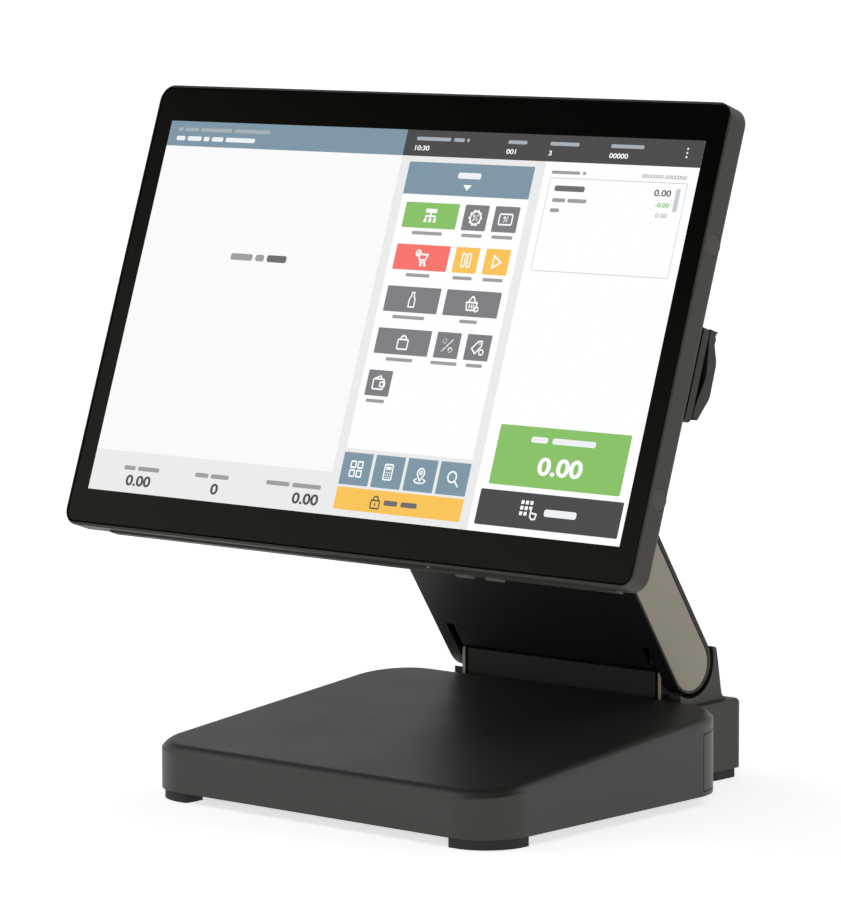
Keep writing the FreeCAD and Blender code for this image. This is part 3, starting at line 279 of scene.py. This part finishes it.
FINISHES = {
    "housing_plastic": moulded("housing_plastic", linear(37, 35, 32), 0.48, specular=0.46),
    "arm_plastic": moulded("arm_plastic", linear(16, 16, 16), 0.46, specular=0.36),
    "inlay_plastic": moulded("inlay_plastic", linear(146, 140, 127), 0.6, specular=0.3),
    "foot_rubber": moulded("foot_rubber", linear(26, 26, 26), 0.75, bump=0.4),
    "bare_steel": moulded("bare_steel", linear(128, 120, 108), 0.42, metallic=0.7, bump=0.1),
    "coated_steel": moulded("coated_steel", linear(58, 54, 49), 0.5, metallic=0.3, bump=0.15),
    "weight_iron": moulded("weight_iron", linear(70, 68, 66), 0.7, metallic=0.5, grain=1.2 * MM, bump=0.6),
    "clutch_steel": moulded("clutch_steel", linear(120, 118, 114), 0.4, metallic=0.9),
    "bush_metal": moulded("bush_metal", linear(168, 132, 78), 0.4, metallic=0.9),
    "screen_glass": moulded("screen_glass", linear(2, 2, 1), 0.06, bump=0.0, mottle=0.02, specular=0.14,
                            sheen=(1, 0.97, 0.78, 1)),
    "screen_image": lit("screen_image", linear(236, 236, 236)),
    "adhesive": moulded("adhesive", linear(20, 20, 20), 0.7),
    "circuit_board": moulded("circuit_board", linear(28, 74, 46), 0.45),
    "heat_sink_metal": moulded("heat_sink_metal", linear(150, 150, 150), 0.4, metallic=0.9),
    "drive_case": moulded("drive_case", linear(60, 60, 62), 0.5),
    "component_plastic": moulded("component_plastic", linear(32, 32, 32), 0.55),
    "socket_shell": moulded("socket_shell", linear(170, 170, 168), 0.3, metallic=1.0),
    "plug_rubber": moulded("plug_rubber", linear(50, 47, 43), 0.5),
    "button_plastic": moulded("button_plastic", linear(70, 68, 66), 0.5),
    "light_pipe": lit("light_pipe", linear(240, 242, 244), 0.45),
}


def shade_faces_not_forward(material, dark):
    """Keep the finish's colour on faces that look forward, and give the others a dark one: painted shade on
    the faces turned away from the front.
    """
    tree = material.node_tree
    shader = next(item for item in tree.nodes if item.bl_idname == "ShaderNodeBsdfPrincipled")
    colour = shader.inputs["Base Color"].links[0].from_socket
    facing = tree.nodes.new("ShaderNodeNewGeometry")
    parts = tree.nodes.new("ShaderNodeSeparateXYZ")
    tree.links.new(facing.outputs["Normal"], parts.inputs[0])
    share = remap(tree, parts.outputs["Y"], 0, 1, start=-0.6, end=-0.9)
    blend = tree.nodes.new("ShaderNodeMix")
    blend.data_type = "RGBA"
    tree.links.new(share.outputs["Result"], blend.inputs["Factor"])
    blend.inputs[MIX_FIRST].default_value = dark
    tree.links.new(colour, blend.inputs[MIX_SECOND])
    tree.links.new(blend.outputs[MIX_RESULT], shader.inputs["Base Color"])


def finish_nodes():
    """Give every CAD node its slot's material, and a few nodes a finish of their own."""
    slab_plastic = moulded("slab_plastic", linear(30, 29, 26), 0.46, specular=0.6, edge=SLAB_EDGE,
                           sheen=(1, 0.98, 0.94, 1))
    cover_plastic = moulded("cover_plastic", linear(14, 14, 14), 0.5, specular=0.25)
    reader_plastic = moulded("reader_plastic", linear(27, 26, 24), 0.48, specular=0.38)
    ear_steel = moulded("ear_steel", linear(150, 138, 120), 0.5, metallic=0.2, bump=0.15)
    # The bracket's faces that don't look forward get painted shade.
    shade_faces_not_forward(ear_steel, linear(22, 21, 20))
    for entry in frame["record"]["subparts"]:
        piece = NODES[entry["node"]]
        piece.data.materials.clear()
        piece.data.materials.append(FINISHES[entry["material_slot"]])
    NODES["hinge_bracket"].data.materials[0] = ear_steel
    NODES["hinge_cover"].data.materials[0] = cover_plastic
    for name in ("card_reader_base", "card_reader_cover"):
        NODES[name].data.materials[0] = reader_plastic
    for name in ("base_top_cover", "rear_corner_cover_left", "rear_corner_cover_right"):
        NODES[name].data.materials[0] = slab_plastic


# ================================================================ meshes
def add_piece(name, points, faces, material, body):
    """A mesh piece in the row frame that rides on a CAD body."""
    mesh = bpy.data.meshes.new(name)
    mesh.from_pydata([tuple(point) for point in points], [], faces)
    mesh.materials.append(material)
    piece = bpy.data.objects.new(name, mesh)
    bpy.context.scene.collection.objects.link(piece)
    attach(piece, body)
    return piece


def arc(x, y, radius, start, end, steps):
    """Points along an arc, angles in degrees."""
    turns = [math.radians(start + (end - start) * i / steps) for i in range(steps + 1)]
    return [(x + radius * math.cos(turn), y + radius * math.sin(turn)) for turn in turns]


# The cross section of the painted shade ring: inward from the glass's edge, and behind the glass's face.
SEAM_SHADE_SECTION = [(-0.2, 0.35), (-0.14, -0.04), (0.12, -0.09), (0.62, -0.07), (0.75, -0.01), (0.12, -0.01)]


def add_seam_shade_ring():
    """A thin near-black ring over the seam between the cover glass and the rim, a shade proud of the glass:
    painted shade in the seam.
    """
    side = GLASS_HALF_WIDTH - GLASS_RADIUS
    top = GLASS_HALF_HEIGHT - GLASS_RADIUS
    corners = ((side, top, 0), (-side, top, 90), (-side, -top, 180), (side, -top, 270))
    points = []
    for inset, depth in SEAM_SHADE_SECTION:
        loop = [place for x, rise, start in corners
                for place in arc(x, rise, GLASS_RADIUS - inset, start, start + 90, 8)]
        points.extend(on_display(x, depth, rise) for x, rise in loop)
    rings = len(SEAM_SHADE_SECTION)
    count = len(points) // rings
    faces = []
    for ring in range(rings):
        after = (ring + 1) % rings
        for i in range(count):
            j = (i + 1) % count
            faces.append((ring * count + i, ring * count + j, after * count + j, after * count + i))
    # Near-black with almost no shine: painted shade in the seam.
    seam_shade_finish = moulded("seam_shade_black", linear(3, 3, 3), 0.8, specular=0.05)
    add_piece("glass_seam_shade", points, faces, seam_shade_finish, "display")


# ================================================================ the screen's contents
SCREEN_INKS = {
    "page": linear(250, 250, 250),
    "strip": linear(236, 236, 236),
    "white": linear(255, 255, 255),
    "slate": linear(128, 152, 168),
    "charcoal": linear(78, 78, 79),
    "green": linear(138, 195, 106),
    "red": linear(248, 118, 112),
    "amber": linear(250, 197, 92),
    "grey": linear(128, 129, 132),
    "ink": linear(84, 84, 86),
    "soft_ink": linear(132, 132, 134),
    "pale_line": linear(200, 214, 224),
    "pale_grey": linear(200, 206, 210),
    "bright_green": linear(90, 190, 70),
    "dark_word": linear(112, 112, 114),
    "grey_word": linear(160, 160, 162),
    "light_word": linear(240, 243, 245),
    "faint_word": linear(168, 178, 184),
}
# Bars that stand for words are paler than the letters they stand for.
WORD_TONES = {"ink": "dark_word", "soft_ink": "grey_word", "white": "light_word", "pale_grey": "faint_word"}
LEVEL_STEP = 0.03
DIGIT_WIDENING = 1.35
HEADER_BOTTOM, FOOTER_TOP = 13.1, 172.6
LIST_RIGHT, COLUMN_RIGHT = 160.5, 252
SQUARE = 0.1
drawn = {}


def lay(ink, level, points, faces):
    """Add flat shapes in one ink; a higher level lies on top of a lower one."""
    kept_points, kept_faces = drawn.setdefault((ink, level), ([], []))
    start = len(kept_points)
    kept_points.extend(points)
    kept_faces.extend(tuple(start + i for i in face) for face in faces)


def block(ink, level, left, top, right, bottom, radius=0.5):
    """A filled rectangle with rounded corners."""
    points = (arc(right - radius, top + radius, radius, -90, 0, 4)
              + arc(right - radius, bottom - radius, radius, 0, 90, 4)
              + arc(left + radius, bottom - radius, radius, 90, 180, 4)
              + arc(left + radius, top + radius, radius, 180, 270, 4))
    lay(ink, level, points, [tuple(range(len(points)))])


def dot(ink, level, x, y, radius):
    """A filled disc."""
    points = arc(x, y, radius, 0, 337.5, 15)
    lay(ink, level, points, [tuple(range(len(points)))])


def stroke(ink, level, points, width, closed=False):
    """A line of one width through the points, with round joints."""
    runs = list(zip(points, points[1:] + points[:1])) if closed else list(zip(points, points[1:]))
    for (x, y), (next_x, next_y) in runs:
        length = math.hypot(next_x - x, next_y - y)
        aside_x, aside_y = (y - next_y) / length * width / 2, (next_x - x) / length * width / 2
        lay(ink, level, [(x + aside_x, y + aside_y), (next_x + aside_x, next_y + aside_y),
                         (next_x - aside_x, next_y - aside_y), (x - aside_x, y - aside_y)], [(0, 1, 2, 3)])
    for x, y in points:
        dot(ink, level, x, y, width / 2)


def trace(x, y, offsets, width, closed=False, ink="white", level=4):
    """A line through points given as offsets from an icon's middle."""
    stroke(ink, level, [(x + aside, y + drop) for aside, drop in offsets], width, closed)


def hoop(ink, level, x, y, radius, width, start=0, end=360):
    """A ring, or an arc of one."""
    steps = 24
    outer = arc(x, y, radius + width / 2, start, end, steps)
    inner = arc(x, y, radius - width / 2, start, end, steps)
    lay(ink, level, outer + inner, [(i, i + 1, steps + 2 + i, steps + 1 + i) for i in range(steps)])


def outline_box(ink, level, left, top, right, bottom, radius, width):
    """The outline of a rounded rectangle."""
    points = (arc(right - radius, top + radius, radius, -90, 0, 3)
              + arc(right - radius, bottom - radius, radius, 0, 90, 3)
              + arc(left + radius, bottom - radius, radius, 90, 180, 3)
              + arc(left + radius, top + radius, radius, 180, 270, 3))
    stroke(ink, level, points, width, closed=True)


def words(ink, y, height, *spans):
    """Plain bars that stand for words, one for each span of x."""
    for left, right in spans:
        block(WORD_TONES[ink], 3, left, y - height / 2, right, y + height / 2, height * 0.35)


def digits(ink, text, x, y, height, anchor="left", weight=0.0):
    """Digits of a given height whose left end, middle or right end is at x."""
    curve = bpy.data.curves.new("digits", "FONT")
    curve.body = text
    curve.offset = weight
    holder = bpy.data.objects.new("digits", curve)
    bpy.context.scene.collection.objects.link(holder)
    mesh = bpy.data.meshes.new_from_object(holder)
    across = [point.co.x for point in mesh.vertices]
    upright = [point.co.y for point in mesh.vertices]
    scale = height / (max(upright) - min(upright))
    widen = scale * DIGIT_WIDENING
    shift = {"left": min(across), "middle": (min(across) + max(across)) / 2, "right": max(across)}[anchor]
    middle = (max(upright) + min(upright)) / 2
    placed = [(x + (point.co.x - shift) * widen, y - (point.co.y - middle) * scale) for point in mesh.vertices]
    lay(ink, 3, placed, [tuple(face.vertices) for face in mesh.polygons])
    bpy.data.objects.remove(holder)


def percent(x, y, reach, radius, width):
    """A slanted line between two small rings."""
    stroke("white", 3, [(x - reach, y + reach), (x + reach, y - reach)], width)
    hoop("white", 3, x - reach * 0.72, y - reach * 0.72, radius, width)
    hoop("white", 3, x + reach * 0.72, y + reach * 0.72, radius, width)


def draw_panels():
    """The large areas: header, list, middle column and totals."""
    block("page", 0, 0, 0, LIT_WIDTH, LIT_HEIGHT, SQUARE)
    block("slate", 1, 0, 0, LIST_RIGHT, HEADER_BOTTOM, SQUARE)
    block("charcoal", 1, LIST_RIGHT, 0, LIT_WIDTH, HEADER_BOTTOM, SQUARE)
    block("strip", 1, 0, FOOTER_TOP, LIST_RIGHT, LIT_HEIGHT, SQUARE)
    block("strip", 1, LIST_RIGHT, HEADER_BOTTOM, COLUMN_RIGHT, LIT_HEIGHT, SQUARE)
    block("white", 1, COLUMN_RIGHT, HEADER_BOTTOM, LIT_WIDTH, LIT_HEIGHT, SQUARE)
    block("white", 2, 166.3, 32.4, 246.3, 160, 0.3)


def draw_header():
    """Bars for words, digits for the time and numbers, and the menu's dots."""
    words("pale_grey", 4.3, 1.9, (6, 9.3), (10.8, 20.4), (22, 43.5), (45.2, 69.8))
    words("white", 9, 2.3, (6, 12), (13.8, 23.4), (25, 29), (30.8, 38.6), (40.4, 60.6))
    words("pale_grey", 4.3, 1.8, (167.6, 189.5), (191.5, 198.2), (199.8, 201.4))
    digits("white", "10:30", 167.6, 9, 2.5, weight=0.02)
    words("pale_grey", 4.3, 1.8, (225.8, 237.6))
    digits("white", "001", 225.8, 9, 2.5, weight=0.02)
    words("pale_grey", 4.3, 1.8, (252, 269.8))
    digits("white", "3", 252.2, 9, 2.5, weight=0.02)
    words("pale_grey", 4.3, 1.8, (289.2, 309))
    digits("white", "00000", 289.2, 9, 2.5, weight=0.02)
    for y in (4.2, 6.2, 8.2):
        dot("white", 3, 335, y, 0.5)


def draw_list():
    """The empty list's middle line and the three totals below it."""
    words("soft_ink", 69, 3.4, (61.9, 76.8), (78.8, 84.6))
    words("ink", 69, 3.6, (86.6, 99.8))
    words("soft_ink", 180.9, 2.2, (22, 29.8), (31.6, 46.3))
    words("soft_ink", 180.9, 2.2, (71.3, 80.2), (82, 94))
    words("soft_ink", 180.9, 2.2, (119.5, 134.8), (136.8, 155.5))
    digits("ink", "0.00", 42, 187.2, 5.6, "right", 0.03)
    digits("ink", "0", 86, 187.2, 5.6, "middle", 0.03)
    digits("ink", "0.00", 155.5, 187.2, 5.6, "right", 0.03)


TILE_ROWS = (36.2, 57.3, 78.4, 99.5, 120.6)
TILE_HEIGHT = 12.8
WIDE, NEAR, FAR, WIDE_RIGHT, SMALL = (170, 204.3), (208, 223.1), (227, 242.3), (208, 242.3), (170, 185.3)
TILES = [
    # row, columns, ink and half the width of its caption
    (0, WIDE, "green", 9.6), (0, NEAR, "grey", 6.4), (0, FAR, "grey", 6.5),
    (1, WIDE, "red", 7.6), (1, NEAR, "amber", 6.1), (1, FAR, "amber", 6.2),
    (2, WIDE, "grey", 10.2), (2, WIDE_RIGHT, "grey", 5.5),
    (3, WIDE, "grey", 8.5), (3, NEAR, "grey", 8.2), (3, FAR, "grey", 5),
    (4, SMALL, "grey", 5.9),
]


def draw_tiles():
    """The middle column's coloured tiles with their captions, and the buttons below them."""
    block("slate", 2, 166.3, 16, 245.8, 32.2)
    words("white", 22, 3, (199, 213.6))
    lay("white", 3, [(203.6, 26.6), (209, 26.6), (206.3, 29.4)], [(0, 1, 2)])
    for row, (left, right), ink, caption in TILES:
        top = TILE_ROWS[row]
        middle = (left + right) / 2
        block(ink, 3, left, top, right, top + TILE_HEIGHT)
        words("soft_ink", top + TILE_HEIGHT + 2.5, 1.7, (middle - caption, middle + caption))
    for left in (166, 186.6, 207.2, 227.8):
        block("slate", 2, left, 162, left + 18.7, 178)
    block("amber", 2, 166, 179.2, 246.5, 190.3)
    words("ink", 185, 2.5, (197.4, 206), (208.2, 218.4))


def draw_tile_icons():
    """Plain line icons on the tiles."""
    wide_middle, near_middle, far_middle = 187.2, 215.6, 234.6
    middles = [top + TILE_HEIGHT / 2 for top in TILE_ROWS]
    line = 0.85

    y = middles[0]
    block("white", 4, wide_middle - 3.6, y - 3.4, wide_middle + 3.6, y - 1.4, 0.4)
    trace(wide_middle, y, [(0, -1.4), (0, 1.6)], line)
    trace(wide_middle, y, [(-3, 1.8), (-3, 0.3), (3, 0.3), (3, 1.8)], line)
    for x in (-3, 0, 3):
        block("white", 4, wide_middle + x - 0.9, y + 1.7, wide_middle + x + 0.9, y + 3.4, 0.2)
    hoop("white", 4, near_middle, y, 3.2, 0.8)
    for turn in range(10):
        angle = math.radians(36 * turn)
        dot("white", 4, near_middle + 3.5 * math.cos(angle), y + 3.5 * math.sin(angle), 0.75)
    percent(near_middle, y, 1.5, 0.5, 0.7)
    outline_box("white", 4, far_middle - 4, y - 2.6, far_middle + 4, y + 2.6, 0.7, 0.8)
    percent(far_middle, y, 1.2, 0.45, 0.7)

    y = middles[1]
    trace(wide_middle, y, [(-2.4, -1.6), (3.8, -1.6), (2.6, 1.2), (-0.6, 1.2)], line)
    trace(wide_middle, y, [(-2.2, -1.6), (-0.2, 2.4), (2.8, 2.4)], line)
    dot("white", 4, wide_middle + 0.2, y + 3.6, 0.8)
    dot("white", 4, wide_middle + 2.8, y + 3.6, 0.8)
    hoop("white", 4, wide_middle - 2.4, y - 2.2, 1.5, 0.7)
    trace(wide_middle, y, [(-3.4, -1.2), (-1.4, -3.2)], 0.7)
    for x in (-1.7, 1.7):
        outline_box("white", 4, near_middle + x - 1, y - 3.2, near_middle + x + 1, y + 3.2, 0.5, 0.75)
    trace(far_middle, y, [(-2, -3), (2.8, 0), (-2, 3)], line, closed=True)

    y = middles[2]
    trace(wide_middle, y, [(-0.8, -3.6), (0.8, -3.6), (0.8, -1.8), (1.8, -0.2), (1.8, 3.6), (-1.8, 3.6),
                           (-1.8, -0.2), (-0.8, -1.8)], 0.75, closed=True)
    basket = 225.2
    trace(basket, y, [(-3.6, -0.6), (3.2, -0.6), (2.4, 3.2), (-2.8, 3.2)], 0.8, closed=True)
    trace(basket, y, [(-2.4, -0.8), (-0.6, -3.4), (0.4, -3.4), (2, -0.8)], 0.8)
    for x in (-1.4, 0, 1.2):
        stroke("white", 4, [(basket + x, y + 0.6), (basket + x, y + 2)], 0.7)
    hoop("white", 4, basket + 3.2, y + 2.6, 1.2, 0.7)

    y = middles[3]
    outline_box("white", 4, wide_middle - 3.2, y - 1.2, wide_middle + 3.2, y + 3.6, 0.5, 0.8)
    hoop("white", 4, wide_middle, y - 1.4, 1.7, 0.8, 180, 360)
    percent(near_middle, y, 3, 1.1, 0.7)
    trace(far_middle, y, [(-3.6, 0.6), (-0.2, -3), (2.2, -3.2), (2.2, -0.8), (-1.2, 3)], 0.8, closed=True)
    dot("white", 4, far_middle + 0.9, y - 1.9, 0.45)
    hoop("white", 4, far_middle + 2.6, y + 2.2, 1.3, 0.7)

    x, y = 177.6, middles[4]
    outline_box("white", 4, x - 3.6, y - 2, x + 3.2, y + 3, 0.6, 0.8)
    trace(x, y, [(-3, -2.1), (0.6, -3.6), (1.6, -2.1)], 0.75)
    outline_box("white", 4, x + 0.8, y - 0.6, x + 4, y + 1.6, 0.5, 0.7)


def draw_bottom_icons():
    """Icons on the four square buttons, the padlock, and the keypad's dots."""
    x, y = 175.4, 170
    for aside, rise in ((-2.2, -2.2), (2.2, -2.2), (-2.2, 2.2), (2.2, 2.2)):
        outline_box("white", 4, x + aside - 1.5, y + rise - 1.5, x + aside + 1.5, y + rise + 1.5, 0.3, 0.8)
    x = 196
    outline_box("white", 4, x - 2.5, y - 3.7, x + 2.5, y + 3.7, 0.4, 0.8)
    block("white", 4, x - 1.6, y - 2.7, x + 1.6, y - 1.2, 0.1)
    for aside in (-1.2, 0, 1.2):
        for drop in (0.2, 1.4, 2.6):
            dot("white", 4, x + aside, y + drop, 0.36)
    x = 216.6
    hoop("white", 4, x, y - 1.2, 2.2, 0.8, 150, 390)
    trace(x, y, [(-1.9, -0.1), (0, 2.6), (1.9, -0.1)], 0.8)
    hoop("white", 4, x, y - 1.3, 0.8, 0.7)
    trace(x, y, [(-2.2, 1.8), (-3.6, 2.6), (-2.4, 3.6), (0, 3.9), (2.4, 3.6), (3.6, 2.6), (2.2, 1.8)], 0.7)
    x = 237.1
    hoop("white", 4, x - 0.8, y - 0.8, 2.6, 0.85)
    trace(x, y, [(1.2, 1.2), (3.6, 3.6)], 0.8)
    x, y = 192, 184.9
    outline_box("ink", 4, x - 2.7, y - 0.6, x + 2.7, y + 3.3, 0.5, 0.75)
    hoop("ink", 4, x, y - 0.9, 1.7, 0.75, 180, 360)
    trace(x, y, [(0, 0.8), (0, 1.9)], 0.7, ink="ink")
    x, y = 286, 180.6
    for aside in (-3.6, -0.9, 1.8):
        for drop in (-3, -0.3, 2.4):
            block("white", 4, x + aside - 0.9, y + drop - 0.9, x + aside + 0.9, y + drop + 0.9, 0.2)
    block("charcoal", 5, x + 0.6, y + 0.2, x + 6, y + 5, 0.4)
    trace(x, y, [(2.2, 0.6), (2.2, 3.6), (3.4, 4.8), (5.4, 4.6), (5.8, 2.2), (2.2, 1.8)], 0.8, level=6)


def draw_totals():
    """The right-hand column: the outlined totals, the pay button and the keypad button."""
    words("soft_ink", 18.2, 1.6, (256.6, 274), (275.6, 277.6))
    digits("soft_ink", "0000000-0000000", 338, 18.2, 1.9, "right")
    outline_box("pale_line", 2, 256.6, 21, 339, 66.5, 0.4, 0.45)
    words("ink", 26, 2.8, (260.4, 278.8))
    digits("ink", "0.00", 330.6, 26, 3.2, "right", 0.02)
    words("soft_ink", 31.8, 1.9, (260.5, 268.4), (269.8, 281.4))
    digits("bright_green", "-0.00", 330.8, 31.8, 2.2, "right", 0.02)
    words("soft_ink", 36.8, 1.9, (260.5, 266))
    digits("soft_ink", "0.00", 330.8, 36.8, 2.1, "right")
    block("pale_grey", 3, 333.2, 23.5, 335.9, 35, 1.3)
    block("green", 2, 259.2, 141.5, 338.2, 170.4, 0.8)
    words("white", 147.6, 2.9, (279.4, 289.4), (292.2, 318.2))
    digits("white", "0.00", 300, 160, 8.8, "middle", 0.03)
    block("charcoal", 2, 255.6, 173, 341.8, 190.2, 0.8)
    words("white", 181.7, 3.5, (296.2, 315.6))


def add_screen():
    """Lay every drawn shape on the glass, one piece for each ink and level."""
    draw_panels()
    draw_header()
    draw_list()
    draw_tiles()
    draw_tile_icons()
    draw_bottom_icons()
    draw_totals()
    inks = {name: lit(f"screen_{name}", colour) for name, colour in SCREEN_INKS.items()}
    for (ink, level), (points, faces) in sorted(drawn.items()):
        depth = -LEVEL_STEP * (level + 1)
        placed = [on_display(x - LIT_WIDTH / 2, depth, LIT_HEIGHT / 2 - y) for x, y in points]
        add_piece(f"screen_{ink}_{level}", placed, faces, inks[ink], "display")


# ================================================================ run
bpy.context.scene.view_settings.view_transform = "Standard"
bpy.context.scene.view_settings.look = "None"
add_camera()
add_world()
add_floor()
for sun_name, sun_settings in SUNS.items():
    add_sun(sun_name, *sun_settings)
finish_nodes()
add_seam_shade_ring()
add_screen()
